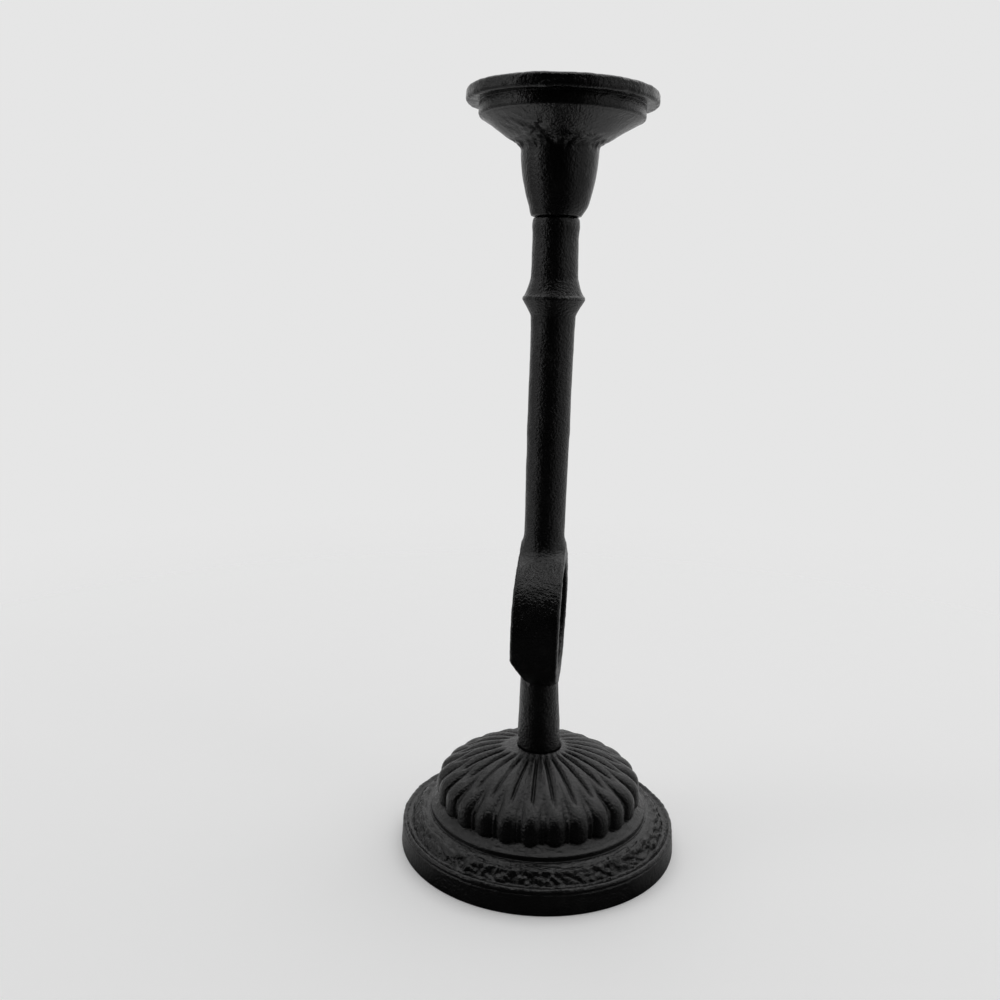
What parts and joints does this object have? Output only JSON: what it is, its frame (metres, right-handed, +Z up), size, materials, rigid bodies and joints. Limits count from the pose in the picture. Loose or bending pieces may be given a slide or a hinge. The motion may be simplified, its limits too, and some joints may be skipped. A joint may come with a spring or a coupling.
{
  "type": "torchere candle stand",
  "caption": "Tall cast-iron candlestick: round gadrooned foot, turned stem with a finger ring and a knop, and a candle cup in a stepped drip pan.",
  "frame": {"origin": "on the table, at the centre of the round foot", "axes": "+Z up along the stem, +X along the axis of the finger ring, -Y towards the viewer in the picture"},
  "size_m": [0.13, 0.13, 0.34],
  "materials": {
    "black_iron": "satin black paint over sand-cast iron",
    "zinc_steel": "zinc-plated steel"
  },
  "bodies": {
    "root": {"base_casting": "black_iron", "stem_casting": "black_iron", "cup_and_pan": "black_iron", "base_bolt": "zinc_steel", "base_flat_washer": "zinc_steel", "base_lock_washer": "zinc_steel", "cup_screw": "zinc_steel", "cup_screw_washer": "zinc_steel"}
  },
  "joints": []
}
